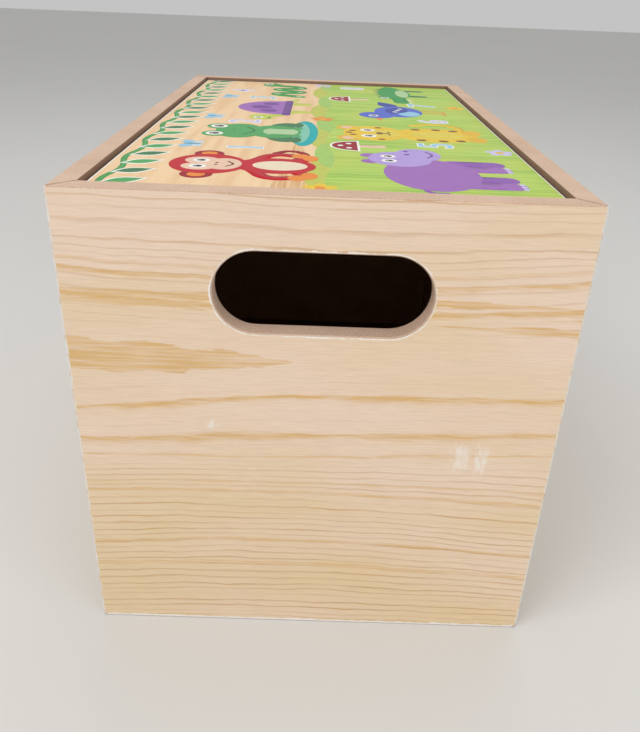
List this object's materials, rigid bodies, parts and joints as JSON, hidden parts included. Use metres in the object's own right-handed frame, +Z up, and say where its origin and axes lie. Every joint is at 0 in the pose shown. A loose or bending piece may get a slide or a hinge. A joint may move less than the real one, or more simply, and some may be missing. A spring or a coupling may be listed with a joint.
{
  "type": "wooden toy box",
  "caption": "Rectangular wooden toy box with a stadium-shaped hand slot in each end wall and a lift-off picture lid that drops in on two rails.",
  "frame": {"origin": "centre of the footprint, on the surface that the box stands on", "axes": "+Z up; +Y along the box from the near end to the far end; +X to the right seen from the near end, across the box"},
  "size_m": [0.2, 0.34, 0.208],
  "materials": {
    "mdf": "bare sanded MDF",
    "pine_print": "printed pine-grain paper, satin",
    "picture_print": "printed picture paper, satin",
    "hardboard": "hardboard, smooth face up",
    "rail_pine": "planed pine",
    "pin_steel": "bright steel"
  },
  "bodies": {
    "box": {"near_end_wall": "mdf", "far_end_wall": "mdf", "left_side_wall": "mdf", "right_side_wall": "mdf", "near_end_paper": "pine_print", "far_end_paper": "pine_print", "left_side_paper": "pine_print", "right_side_paper": "pine_print", "floor_board": "hardboard", "left_lid_rail": "rail_pine", "right_lid_rail": "rail_pine", "left_rail_pins": "pin_steel", "right_rail_pins": "pin_steel"},
    "lid": {"lid_board": "mdf", "lid_picture_sheet": "picture_print"}
  },
  "joints": [
    {"name": "lid_lift", "type": "slide", "parent": "box", "child": "lid", "axis": [0, 0, 1], "range_m": [0, 0.1]}
  ]
}
